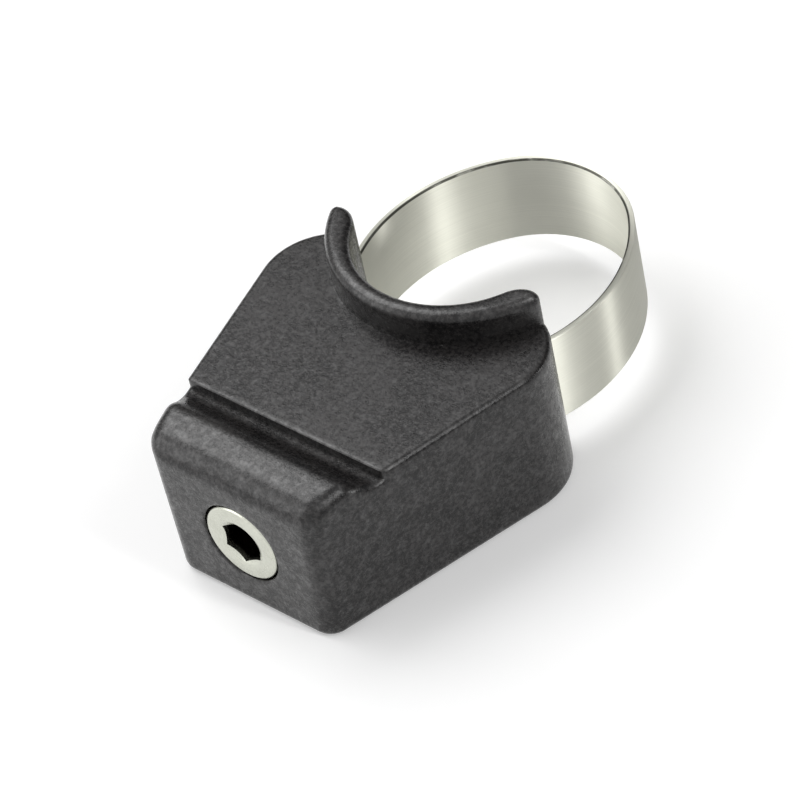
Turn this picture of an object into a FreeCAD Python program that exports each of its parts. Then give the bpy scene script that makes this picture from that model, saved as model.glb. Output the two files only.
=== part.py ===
import FreeCAD, Part
import math
import os
import Sketcher
from FreeCAD import Vector

# Seatpost bag adapter, in millimetres.
# The origin is where the seatpost axis (Z) meets the height of the screw axis (Y).
# The screw head looks along -Y.

SIZES = [
    ("post_radius", 12.5, "cradle, for the smallest seatpost"),
    ("cradle_wall", 2.5, "wall between the cradle and the nut chamber"),
    ("top_height", 10.0, "top face above the screw axis"),
    ("base_depth", 9.6, "underside below the screw axis"),
    ("front_half", 11.7, "half the width at the front face"),
    ("corner_x", 11.2, "centre of a rear corner, sideways"),
    ("corner_y", 11.4, "centre of a rear corner, forwards"),
    ("corner_radius", 8.2, "rear corner in plan"),
    ("lip_wall", 2.4, "thickness of the raised lip"),
    ("lip_height", 4.3, "raised lip above the top face"),
    ("ear_tip_round", 3.6, "rounding in plan where a rear corner meets the cradle"),
    ("lip_round", 1.1, "rounding along the top of the lip"),
    ("groove_reach", 32.0, "rear wall of the latch groove from the seatpost axis"),
    ("groove_floor", 2.34, "flat floor of the latch groove, rear wall to hollow"),
    ("groove_depth", 1.2, "latch groove below the top face"),
    ("valley_radius", 0.8, "hollow between the groove floor and the ridge"),
    ("crest_radius", 1.8, "rear of the ridge, up to its top"),
    ("ridge_land", 3.08, "flat on top of the ridge"),
    ("ridge_radius", 2.0, "ridge into the front face"),
    ("ridge_rise", 1.1, "ridge above the top face"),
    ("nose_edge_round", 1.6, "rounding of the upright front edges and the ridge ends"),
    ("top_edge_round", 0.8, "rounding of the top side edges"),
    ("groove_edge_round", 0.3, "rounding of the top face at the latch groove"),
    ("base_edge_round", 0.8, "rounding of the underside edge"),
    ("loop_half", 15.32, "half the width of the band loop, mid strip"),
    ("loop_wide_y", 3.6, "where the loop is widest, behind the seatpost axis"),
    ("side_radius", 20.6, "flank of the loop, mid strip"),
    ("rear_radius", 13.4, "rear bow of the loop, mid strip"),
    ("leg_angle", 19.0, "lean of each leg towards the nut, degrees"),
    ("band_thick", 0.8, "strip thickness"),
    ("band_width", 12.0, "strip width"),
    ("bend_radius", 1.4, "bend from leg to hook, mid strip"),
    ("hook_tip", 3.8, "hook end from the screw axis"),
    ("slot_gap", 0.25, "clearance of the band in its slots"),
    ("band_travel", 9.0, "how far the screw draws the band in"),
    ("rest_gap", 0.4, "nut to the cradle wall when fully open"),
    ("end_gap", 0.3, "hooks to the chamber wall when fully closed"),
    ("nut_length", 6.0, "draw nut along the screw"),
    ("nut_height", 11.6, "draw nut, upright"),
    ("nut_side_gap", 0.15, "draw nut to the band legs"),
    ("nut_corner", 1.3, "draw nut front corners, clear of the bends"),
    ("chamber_half", 8.8, "half the width of the nut chamber"),
    ("thread_radius", 3.0, "M6 screw"),
    ("thread_gap", 0.05, "running clearance in the nut"),
    ("tip_gap", 1.0, "screw end to the cradle wall"),
    ("shank_tip", 0.8, "chamfer at the screw end"),
    ("head_radius", 5.1, "cap head"),
    ("head_height", 6.0, "cap head"),
    ("head_edge", 0.4, "bevel of the cap head"),
    ("head_gap", 0.3, "head to its counterbore, all round"),
    ("seat_gap", 0.05, "head to its seat"),
    ("bore_gap", 0.3, "screw to its bore in the body"),
    ("socket_flats", 5.0, "hexagon socket across flats"),
    ("socket_depth", 3.4, "hexagon socket"),
    ("socket_mouth", 3.1, "radius of the socket's countersunk mouth"),
    ("cut_margin", 8.0, "how far a cutting profile passes the block"),
]
size = {name: value for name, value, note in SIZES}

# The ridge from the hollow's lowest line to its top, and on to the front face, where its round runs out.
FLANK_RUN = ("sqrt((Sizes.crest_radius + Sizes.valley_radius)^2"
             " - (Sizes.crest_radius + Sizes.valley_radius - Sizes.groove_depth - Sizes.ridge_rise)^2)")
RIDGE_RUN = "(" + FLANK_RUN + " + Sizes.ridge_land + Sizes.ridge_radius)"

# The front edges run on over the ridge, so their round stays under the rounds of the ridge itself.
NOSE_ROUND = "min(Sizes.nose_edge_round; 0.95 * Sizes.crest_radius; 0.95 * Sizes.ridge_radius)"

# Places that several pieces share, measured forwards from the seatpost axis.
FRONT = "(Sizes.groove_reach + Sizes.groove_floor + " + RIDGE_RUN + ")"
CHAMBER_REAR = "(Sizes.post_radius + Sizes.cradle_wall)"
NUT_REAR = "(" + CHAMBER_REAR + " + Sizes.rest_gap)"
NUT_FRONT = "(" + NUT_REAR + " + Sizes.nut_length)"
HOOK_MIDDLE = "(" + NUT_FRONT + " + Sizes.band_thick / 2)"
CHAMBER_FRONT = "(" + NUT_FRONT + " + Sizes.band_thick + Sizes.band_travel + Sizes.end_gap)"
SLOT_FRONT = "(" + NUT_FRONT + " + Sizes.band_travel)"
SCREW_END = "(" + CHAMBER_REAR + " + Sizes.tip_gap)"
HEAD_SEAT = "(" + FRONT + " - Sizes.head_height - Sizes.seat_gap)"

# Heights from the screw axis.
SLOT_HALF_HEIGHT = "(Sizes.band_width / 2 + Sizes.slot_gap)"
CHAMBER_ROOF = "(max(Sizes.band_width; Sizes.nut_height) / 2 + Sizes.slot_gap)"

ORIGIN = (-1, 1)
ACROSS = -1
ALONG = -2


def make_sheet(doc):
    sheet = doc.addObject("Spreadsheet::Sheet", "Sizes")
    for row, (name, value, note) in enumerate(SIZES, start=1):
        sheet.set("A%d" % row, name)
        sheet.set("B%d" % row, str(value))
        sheet.set("C%d" % row, note)
        sheet.setAlias("B%d" % row, name)
    doc.recompute()
    return sheet


doc = FreeCAD.newDocument("SeatpostBagAdapter")
sheet = make_sheet(doc)


def value_of(formula):
    return float(sheet.evalExpression(formula))


def new_body(label):
    body = doc.addObject("PartDesign::Body", label)
    body.Label = label
    return body


def new_sketch(body, name, role, lift=None):
    plane = next(item for item in body.Origin.OriginFeatures if item.Role == role)
    sketch = body.newObject("Sketcher::SketchObject", name)
    sketch.AttachmentSupport = [(plane, "")]
    sketch.MapMode = "FlatFace"
    if lift:
        sketch.setExpression("AttachmentOffset.Base.z", lift)
    return sketch


def bind(sketch, name, formula, kind, *where):
    # A named dimension of the sketch, tied to the sheet.
    value = value_of(formula)
    if kind == "Angle":
        value = math.radians(value)
    index = sketch.addConstraint(Sketcher.Constraint(kind, *where, value))
    sketch.renameConstraint(index, name)
    sketch.setExpression("Constraints." + name, formula)


def tie(sketch, kind, *where):
    sketch.addConstraint(Sketcher.Constraint(kind, *where))


def add_line(sketch, start, end, construction=False):
    return sketch.addGeometry(Part.LineSegment(Vector(*start, 0), Vector(*end, 0)), construction)


def add_arc(sketch, centre, radius, start, end):
    # From start to end anticlockwise, in degrees.
    circle = Part.Circle(Vector(*centre, 0), Vector(0, 0, 1), radius)
    return sketch.addGeometry(Part.ArcOfCircle(circle, math.radians(start), math.radians(end)), False)


def add_polygon(sketch, points):
    # A closed ring of lines, each ending where the next starts.
    lines = [add_line(sketch, a, b) for a, b in zip(points, points[1:] + points[:1])]
    for line, after in zip(lines, lines[1:] + lines[:1]):
        tie(sketch, "Coincident", line, 2, after, 1)
    return lines


def add_rectangle(sketch, half_width, front, rear):
    # Symmetric about the screw axis: front, right, rear and left lines.
    corners = [(-half_width, front), (half_width, front), (half_width, rear), (-half_width, rear)]
    lines = add_polygon(sketch, corners)
    for line in (lines[0], lines[2]):
        tie(sketch, "Symmetric", line, 1, line, 2, ALONG)
    tie(sketch, "Vertical", lines[1])
    return lines


def feature(body, kind, name, sketch=None, **settings):
    made = body.newObject("PartDesign::" + kind, name)
    if sketch:
        made.Profile = sketch
    for key, setting in settings.items():
        setattr(made, key, setting)
    return made


def round_edges(body, name, radius, wanted):
    # Rounds every edge of the body so far whose ends and middle pass the test.
    doc.recompute()
    base = body.Tip
    names = []
    for index, edge in enumerate(base.Shape.Edges, start=1):
        middle = edge.valueAt((edge.FirstParameter + edge.LastParameter) / 2)
        if wanted(middle, [vertex.Point for vertex in edge.Vertexes]):
            names.append("Edge%d" % index)
    fillet = body.newObject("PartDesign::Fillet", name)
    fillet.Base = (base, names)
    fillet.setExpression("Radius", radius)
    doc.recompute()
    return fillet


def near(a, b):
    return abs(a - b) < 0.01


def on_lip(point):
    return near(math.hypot(point.x, point.y), size["post_radius"] + size["lip_wall"])


def leg_line(sketch):
    # The middle of the right leg at rest: it leaves the loop's flank at the leg angle.
    lean = math.radians(size["leg_angle"])
    side = size["side_radius"]
    centre = (size["loop_half"] - side, size["loop_wide_y"])
    start = (centre[0] + side * math.cos(lean), centre[1] - side * math.sin(lean))
    end = (start[0] - side * math.sin(lean), start[1] - side * math.cos(lean))
    flank = sketch.addGeometry(Part.Circle(Vector(*centre, 0), Vector(0, 0, 1), side), True)
    leg = add_line(sketch, start, end, True)
    bind(sketch, "flank_x", "Sizes.side_radius - Sizes.loop_half", "DistanceX", flank, 3, *ORIGIN)
    bind(sketch, "flank_y", "Sizes.loop_wide_y", "DistanceY", *ORIGIN, flank, 3)
    bind(sketch, "flank_radius", "Sizes.side_radius", "Radius", flank)
    tie(sketch, "Tangent", leg, 1, flank)
    bind(sketch, "leg_lean", "90 - Sizes.leg_angle", "Angle", ACROSS, 1, leg, 2)
    bind(sketch, "leg_run", "Sizes.side_radius", "Distance", leg)
    return leg, start, end


def beside(point, end, start, offset):
    # The point moved sideways from the leg, outwards where the offset is positive.
    along = Vector(start[0] - end[0], start[1] - end[1], 0).normalize()
    return point[0] + along.y * offset, point[1] - along.x * offset


def draw_plan(body):
    # Straight front, flared sides, round rear corners and the cradle between them.
    sketch = new_sketch(body, "PlanOutline", "XY_Plane", "-Sizes.base_depth")
    half, reach, corner = size["front_half"], value_of(FRONT), size["corner_radius"]
    centre = (size["corner_x"], -size["corner_y"])
    apart = math.hypot(centre[0] - half, centre[1] + reach)
    flare = math.asin(corner / apart) + math.atan2(centre[0] - half, centre[1] + reach)
    joint = (centre[0] + corner * math.cos(flare), centre[1] - corner * math.sin(flare))
    flare = math.degrees(flare)
    tip, turn, below = ear_tip()
    front = add_line(sketch, (-half, -reach), (half, -reach))
    right = add_line(sketch, (half, -reach), joint)
    right_corner = add_arc(sketch, centre, corner, -flare, turn)
    right_tip = add_arc(sketch, tip, size["ear_tip_round"], turn, 180 - below)
    cradle = add_arc(sketch, (0, 0), size["post_radius"], 180 + below, 360 - below)
    left_tip = add_arc(sketch, (-tip[0], tip[1]), size["ear_tip_round"], below, 180 - turn)
    left_corner = add_arc(sketch, (-centre[0], centre[1]), corner, 180 - turn, 180 + flare)
    left = add_line(sketch, (-joint[0], joint[1]), (-half, -reach))
    tie(sketch, "Coincident", front, 2, right, 1)
    tie(sketch, "Tangent", right, 2, right_corner, 1)
    tie(sketch, "Tangent", right_corner, 2, right_tip, 1)
    tie(sketch, "Tangent", right_tip, 2, cradle, 2)
    tie(sketch, "Tangent", cradle, 1, left_tip, 1)
    tie(sketch, "Tangent", left_tip, 2, left_corner, 1)
    tie(sketch, "Tangent", left_corner, 2, left, 1)
    tie(sketch, "Coincident", left, 2, front, 1)
    tie(sketch, "Coincident", cradle, 3, *ORIGIN)
    tie(sketch, "Symmetric", front, 1, front, 2, ALONG)
    tie(sketch, "Symmetric", left_corner, 3, right_corner, 3, ALONG)
    tie(sketch, "Equal", left_corner, right_corner)
    tie(sketch, "Equal", left_tip, right_tip)
    bind(sketch, "reach", FRONT, "DistanceY", front, 1, *ORIGIN)
    bind(sketch, "front_width", "2 * Sizes.front_half", "DistanceX", front, 1, front, 2)
    bind(sketch, "corner_x", "Sizes.corner_x", "DistanceX", *ORIGIN, right_corner, 3)
    bind(sketch, "corner_y", "Sizes.corner_y", "DistanceY", right_corner, 3, *ORIGIN)
    bind(sketch, "corner_radius", "Sizes.corner_radius", "Radius", right_corner)
    bind(sketch, "cradle_radius", "Sizes.post_radius", "Radius", cradle)
    bind(sketch, "tip_radius", "Sizes.ear_tip_round", "Radius", right_tip)
    return sketch


def ear_tip():
    # Centre of the round between the right rear corner and the cradle, the turn at which it leaves
    # the corner, and how far below the X axis it meets the cradle, in degrees.
    reach = size["post_radius"] + size["ear_tip_round"]
    inner = size["corner_radius"] - size["ear_tip_round"]
    far = math.hypot(size["corner_x"], size["corner_y"])
    spread = math.acos((reach ** 2 + far ** 2 - inner ** 2) / (2 * reach * far))
    below = math.atan2(size["corner_y"], size["corner_x"]) - spread
    centre = (reach * math.cos(below), -reach * math.sin(below))
    turn = math.atan2(centre[1] + size["corner_y"], centre[0] - size["corner_x"])
    return centre, math.degrees(turn), math.degrees(below)


def draw_top_profile(body):
    # Side view of all that lies above the top face, the latch groove and the ridge.
    sketch = new_sketch(body, "TopProfile", "YZ_Plane")
    margin, top, reach = size["cut_margin"], size["top_height"], value_of(FRONT)
    floor, peak = top - size["groove_depth"], top + size["ridge_rise"]
    hollow_y = -size["groove_reach"] - size["groove_floor"]
    crest_y = hollow_y - value_of(FLANK_RUN)
    brow_y = crest_y - size["ridge_land"]
    valley = (hollow_y, floor + size["valley_radius"])
    ridge = (crest_y, peak - size["crest_radius"])
    brow = (brow_y, peak - size["ridge_radius"])
    slope = math.degrees(math.atan2(valley[1] - ridge[1], valley[0] - ridge[0]))
    high = top + size["lip_height"] + margin
    face = add_line(sketch, (margin, top), (-size["groove_reach"], top))
    wall = add_line(sketch, (-size["groove_reach"], top), (-size["groove_reach"], floor))
    bottom = add_line(sketch, (-size["groove_reach"], floor), (hollow_y, floor))
    hollow = add_arc(sketch, valley, size["valley_radius"], 180 + slope, 270)
    crest = add_arc(sketch, ridge, size["crest_radius"], slope, 90)
    land = add_line(sketch, (crest_y, peak), (brow_y, peak))
    front_round = add_arc(sketch, brow, size["ridge_radius"], 90, 180)
    shelf = add_line(sketch, (-reach, brow[1]), (-reach - margin, brow[1]))
    ahead = add_line(sketch, (-reach - margin, brow[1]), (-reach - margin, high))
    over = add_line(sketch, (-reach - margin, high), (margin, high))
    behind = add_line(sketch, (margin, high), (margin, top))
    for chain in ((face, wall, bottom), (shelf, ahead, over, behind, face)):
        for first, second in zip(chain, chain[1:]):
            tie(sketch, "Coincident", first, 2, second, 1)
    tie(sketch, "Tangent", bottom, 2, hollow, 2)
    tie(sketch, "Tangent", hollow, 1, crest, 1)
    tie(sketch, "Tangent", crest, 2, land, 1)
    tie(sketch, "Tangent", land, 2, front_round, 1)
    tie(sketch, "Coincident", front_round, 2, shelf, 1)
    tie(sketch, "Horizontal", front_round, 3, front_round, 2)
    for line in (face, bottom, land, shelf, over):
        tie(sketch, "Horizontal", line)
    for line in (wall, ahead, behind):
        tie(sketch, "Vertical", line)
    bind(sketch, "top", "Sizes.top_height", "DistanceY", *ORIGIN, face, 1)
    bind(sketch, "past_rear", "Sizes.cut_margin", "DistanceX", *ORIGIN, face, 1)
    bind(sketch, "groove_rear", "Sizes.groove_reach", "DistanceX", wall, 1, *ORIGIN)
    bind(sketch, "groove_depth", "Sizes.groove_depth", "DistanceY", wall, 2, wall, 1)
    bind(sketch, "valley_radius", "Sizes.valley_radius", "Radius", hollow)
    bind(sketch, "crest_radius", "Sizes.crest_radius", "Radius", crest)
    bind(sketch, "ridge_radius", "Sizes.ridge_radius", "Radius", front_round)
    bind(sketch, "ridge_height", "Sizes.top_height + Sizes.ridge_rise", "DistanceY", *ORIGIN, land, 1)
    bind(sketch, "ridge_land", "Sizes.ridge_land", "DistanceX", land, 2, land, 1)
    bind(sketch, "groove_floor", "Sizes.groove_floor", "DistanceX", bottom, 2, bottom, 1)
    bind(sketch, "past_front", "Sizes.cut_margin", "DistanceX", shelf, 2, shelf, 1)
    bind(sketch, "past_top", "Sizes.lip_height + Sizes.cut_margin", "DistanceY", face, 1, over, 2)
    return sketch


def draw_lip(body):
    # The crescent between the cradle and the outside of the lip, ended by the rounds of the ear tips.
    sketch = new_sketch(body, "LipPlan", "XY_Plane", "Sizes.top_height")
    outer, tip_round = size["post_radius"] + size["lip_wall"], size["ear_tip_round"]
    tip, corner_turn, below = ear_tip()
    reach = math.hypot(*tip)
    swing = math.acos((outer ** 2 - reach ** 2 - tip_round ** 2) / (2 * reach * tip_round))
    turn = math.degrees(swing) - below
    end_x = tip[0] + tip_round * math.cos(math.radians(turn))
    end_y = tip[1] + tip_round * math.sin(math.radians(turn))
    outer_below = math.degrees(math.atan2(-end_y, end_x))
    inside = add_arc(sketch, (0, 0), size["post_radius"], 180 + below, 360 - below)
    outside = add_arc(sketch, (0, 0), outer, 180 + outer_below, 360 - outer_below)
    right = add_arc(sketch, tip, tip_round, turn, 180 - below)
    left = add_arc(sketch, (-tip[0], tip[1]), tip_round, below, 180 - turn)
    corner_centre = Vector(size["corner_x"], -size["corner_y"], 0)
    corner = sketch.addGeometry(Part.Circle(corner_centre, Vector(0, 0, 1), size["corner_radius"]), True)
    tie(sketch, "Tangent", inside, 2, right, 2)
    tie(sketch, "Coincident", right, 1, outside, 2)
    tie(sketch, "Coincident", outside, 1, left, 2)
    tie(sketch, "Tangent", left, 1, inside, 1)
    tie(sketch, "Coincident", inside, 3, *ORIGIN)
    tie(sketch, "Coincident", outside, 3, *ORIGIN)
    tie(sketch, "Tangent", right, corner)
    tie(sketch, "Symmetric", left, 3, right, 3, ALONG)
    bind(sketch, "inner_radius", "Sizes.post_radius", "Radius", inside)
    bind(sketch, "outer_radius", "Sizes.post_radius + Sizes.lip_wall", "Radius", outside)
    bind(sketch, "tip_radius", "Sizes.ear_tip_round", "Radius", right)
    bind(sketch, "corner_x", "Sizes.corner_x", "DistanceX", *ORIGIN, corner, 3)
    bind(sketch, "corner_y", "Sizes.corner_y", "DistanceY", corner, 3, *ORIGIN)
    bind(sketch, "corner_radius", "Sizes.corner_radius", "Radius", corner)
    return sketch


def draw_screw_hole(body):
    # Half section of the counterbore and the bore, turned about the screw axis.
    sketch = new_sketch(body, "ScrewHole", "XY_Plane")
    wide, narrow = size["head_radius"] + size["head_gap"], size["thread_radius"] + size["bore_gap"]
    outside, seat = -value_of(FRONT) - size["cut_margin"], -value_of(HEAD_SEAT)
    inside = -value_of(CHAMBER_FRONT) + size["cut_margin"] / 2
    corners = [(0, outside), (wide, outside), (wide, seat), (narrow, seat), (narrow, inside), (0, inside)]
    lines = add_polygon(sketch, corners)
    for line in lines[0::2]:
        tie(sketch, "Horizontal", line)
    for line in lines[1::2]:
        tie(sketch, "Vertical", line)
    tie(sketch, "PointOnObject", lines[0], 1, ALONG)
    bind(sketch, "outside", FRONT + " + Sizes.cut_margin", "DistanceY", lines[0], 1, *ORIGIN)
    bind(sketch, "seat", HEAD_SEAT, "DistanceY", lines[2], 1, *ORIGIN)
    bind(sketch, "inside", CHAMBER_FRONT + " - Sizes.cut_margin / 2", "DistanceY", lines[4], 1, *ORIGIN)
    bind(sketch, "counterbore", "Sizes.head_radius + Sizes.head_gap", "DistanceX", lines[0], 1, lines[0], 2)
    bind(sketch, "bore", "Sizes.thread_radius + Sizes.bore_gap", "DistanceX", lines[4], 2, lines[4], 1)
    return sketch


def draw_chamber(body):
    # The nut chamber, open below.
    sketch = new_sketch(body, "ChamberPlan", "XY_Plane", CHAMBER_ROOF)
    lines = add_rectangle(sketch, size["chamber_half"], -value_of(CHAMBER_FRONT), -value_of(CHAMBER_REAR))
    bind(sketch, "front", CHAMBER_FRONT, "DistanceY", lines[0], 1, *ORIGIN)
    bind(sketch, "rear", CHAMBER_REAR, "DistanceY", lines[2], 1, *ORIGIN)
    bind(sketch, "width", "2 * Sizes.chamber_half", "DistanceX", lines[0], 1, lines[0], 2)
    return sketch


def draw_slot(body):
    # The right slot: wide enough for the leaning leg at both ends of its travel.
    sketch = new_sketch(body, "SlotPlan", "XY_Plane")
    leg, start, end = leg_line(sketch)
    lean = math.radians(size["leg_angle"])
    inner = size["band_thick"] / 2 + size["slot_gap"]
    outer = inner + size["band_travel"] * math.sin(lean)
    side = size["loop_half"] + inner
    rear = size["loop_wide_y"]
    front = -value_of(SLOT_FRONT)
    in_front = beside(end, end, start, -inner)
    in_front = (in_front[0] + (front - in_front[1]) * math.tan(lean), front)
    in_rear = (in_front[0] + (rear - front) * math.tan(lean), rear)
    out_line = beside(end, end, start, outer)
    out_front = (out_line[0] + (front - out_line[1]) * math.tan(lean), front)
    out_bend = (side, front + (side - out_front[0]) / math.tan(lean))
    lines = add_polygon(sketch, [in_front, out_front, out_bend, (side, rear), in_rear])
    across, outer_wall, straight, mouth, inner_wall = lines
    for line in (across, mouth):
        tie(sketch, "Horizontal", line)
    tie(sketch, "Vertical", straight)
    for line in (outer_wall, inner_wall):
        tie(sketch, "Parallel", line, leg)
    clear = "Sizes.band_thick / 2 + Sizes.slot_gap"
    sweep = "Sizes.band_travel * sin(Sizes.leg_angle * 1 deg)"
    bind(sketch, "inner_wall", clear, "Distance", leg, 2, inner_wall)
    bind(sketch, "outer_wall", clear + " + " + sweep, "Distance", leg, 2, outer_wall)
    bind(sketch, "side", "Sizes.loop_half + " + clear, "DistanceX", *ORIGIN, straight, 1)
    bind(sketch, "rear", "Sizes.loop_wide_y", "DistanceY", *ORIGIN, mouth, 1)
    bind(sketch, "front", SLOT_FRONT, "DistanceY", across, 1, *ORIGIN)
    return sketch


def make_adapter_body():
    body = new_body("adapter_body")
    block = feature(body, "Pad", "Block", draw_plan(body))
    block.setExpression("Length", "Sizes.base_depth + Sizes.top_height + Sizes.ridge_rise")
    feature(body, "Pocket", "TopCut", draw_top_profile(body), Type="ThroughAll", SideType="Symmetric")
    lip = feature(body, "Pad", "Lip", draw_lip(body))
    lip.setExpression("Length", "Sizes.lip_height")
    top, reach = size["top_height"], value_of(FRONT)
    round_edges(body, "NoseEdges", NOSE_ROUND,
                lambda middle, ends: near(middle.y, -reach) and not near(ends[0].z, ends[-1].z))
    round_edges(body, "BaseEdge", "Sizes.base_edge_round",
                lambda middle, ends: near(middle.z, -size["base_depth"]))
    round_edges(body, "TopEdges", "Sizes.top_edge_round",
                lambda middle, ends: near(middle.z, top) and not on_lip(middle)
                and not near(middle.y, -size["groove_reach"]))
    round_edges(body, "GrooveEdge", "Sizes.groove_edge_round",
                lambda middle, ends: near(middle.z, top) and near(middle.y, -size["groove_reach"]))
    round_edges(body, "LipTop", "Sizes.lip_round",
                lambda middle, ends: near(middle.z, top + size["lip_height"]))
    hole_sketch = draw_screw_hole(body)
    feature(body, "Groove", "ScrewBore", hole_sketch, ReferenceAxis=(hole_sketch, ["V_Axis"]))
    feature(body, "Pocket", "NutChamber", draw_chamber(body), Type="ThroughAll")
    slot = feature(body, "Pocket", "BandSlot", draw_slot(body), SideType="Symmetric")
    slot.setExpression("Length", "2 * " + SLOT_HALF_HEIGHT)
    doc.recompute()
    plane = next(item for item in body.Origin.OriginFeatures if item.Role == "YZ_Plane")
    both = feature(body, "Mirrored", "BandSlots", Originals=[slot], MirrorPlane=(plane, [""]))
    body.Tip = both
    return body


def make_clamp_band():
    # A strip swept from hook to hook along the middle of the loop.
    body = new_body("clamp_band")
    spine = new_sketch(body, "BandPath", "XY_Plane")
    lean = math.radians(size["leg_angle"])
    side, rear, bend = size["side_radius"], size["rear_radius"], size["bend_radius"]
    flank = (size["loop_half"] - side, size["loop_wide_y"])
    bow = (0, flank[1] + math.sqrt((side - rear) ** 2 - flank[0] ** 2))
    turn = math.degrees(math.atan2(bow[1] - flank[1], -flank[0]))
    leave = (flank[0] + side * math.cos(lean), flank[1] - side * math.sin(lean))
    hook_y = -value_of(HOOK_MIDDLE)
    bend_x = leave[0] - bend / math.cos(lean) + (hook_y + bend - leave[1]) * math.tan(lean)
    arrive = (bend_x + bend * math.cos(lean), hook_y + bend - bend * math.sin(lean))
    lean = math.degrees(lean)
    path = []
    for sign, first, last in ((1, 2, 1), (-1, 1, 2)):
        hook = add_line(spine, (sign * size["hook_tip"], hook_y), (sign * bend_x, hook_y))
        if sign > 0:
            corner = add_arc(spine, (bend_x, hook_y + bend), bend, 270, 360 - lean)
            flank_arc = add_arc(spine, flank, side, -lean, turn)
        else:
            corner = add_arc(spine, (-bend_x, hook_y + bend), bend, 180 + lean, 270)
            flank_arc = add_arc(spine, (-flank[0], flank[1]), side, 180 - turn, 180 + lean)
        leg = add_line(spine, (sign * arrive[0], arrive[1]), (sign * leave[0], leave[1]))
        tie(spine, "Tangent", hook, 2, corner, last)
        tie(spine, "Tangent", corner, first, leg, 1)
        tie(spine, "Tangent", leg, 2, flank_arc, last)
        path.append((hook, corner, leg, flank_arc, first))
    bow_arc = add_arc(spine, bow, rear, turn, 180 - turn)
    for (hook, corner, leg, flank_arc, first), joint in zip(path, (1, 2)):
        tie(spine, "Tangent", flank_arc, first, bow_arc, joint)
        tie(spine, "Horizontal", hook)
    (hook, corner, leg, flank_arc, first), (hook_2, corner_2, leg_2, flank_2, first_2) = path
    tie(spine, "Symmetric", hook, 1, hook_2, 1, ALONG)
    tie(spine, "Symmetric", flank_arc, 3, flank_2, 3, ALONG)
    tie(spine, "Symmetric", leg, 2, leg_2, 2, ALONG)
    tie(spine, "Equal", corner, corner_2)
    bind(spine, "hook_y", HOOK_MIDDLE, "DistanceY", hook, 1, *ORIGIN)
    bind(spine, "hook_tip", "Sizes.hook_tip", "DistanceX", *ORIGIN, hook, 1)
    bind(spine, "bend_radius", "Sizes.bend_radius", "Radius", corner)
    bind(spine, "flank_x", "Sizes.side_radius - Sizes.loop_half", "DistanceX", flank_arc, 3, *ORIGIN)
    bind(spine, "flank_y", "Sizes.loop_wide_y", "DistanceY", *ORIGIN, flank_arc, 3)
    bind(spine, "flank_radius", "Sizes.side_radius", "Radius", flank_arc)
    bind(spine, "bow_radius", "Sizes.rear_radius", "Radius", bow_arc)
    bind(spine, "leg_lean", "90 - Sizes.leg_angle", "Angle", ACROSS, 1, leg, 1)
    strip = new_sketch(body, "StripSection", "YZ_Plane", "Sizes.hook_tip")
    thick, width = size["band_thick"] / 2, size["band_width"] / 2
    lines = add_polygon(strip, [(hook_y - thick, -width), (hook_y + thick, -width), (hook_y + thick, width),
                                (hook_y - thick, width)])
    for line in lines[0::2]:
        tie(strip, "Horizontal", line)
    tie(strip, "Vertical", lines[1])
    tie(strip, "Symmetric", lines[0], 1, lines[2], 2, ACROSS)
    bind(strip, "front", NUT_FRONT + " + Sizes.band_thick", "DistanceX", lines[0], 1, *ORIGIN)
    bind(strip, "thick", "Sizes.band_thick", "DistanceX", lines[0], 1, lines[0], 2)
    bind(strip, "width", "Sizes.band_width", "DistanceY", lines[1], 1, lines[1], 2)
    doc.recompute()
    feature(body, "AdditivePipe", "Strip", strip, Spine=spine)
    return body


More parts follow.
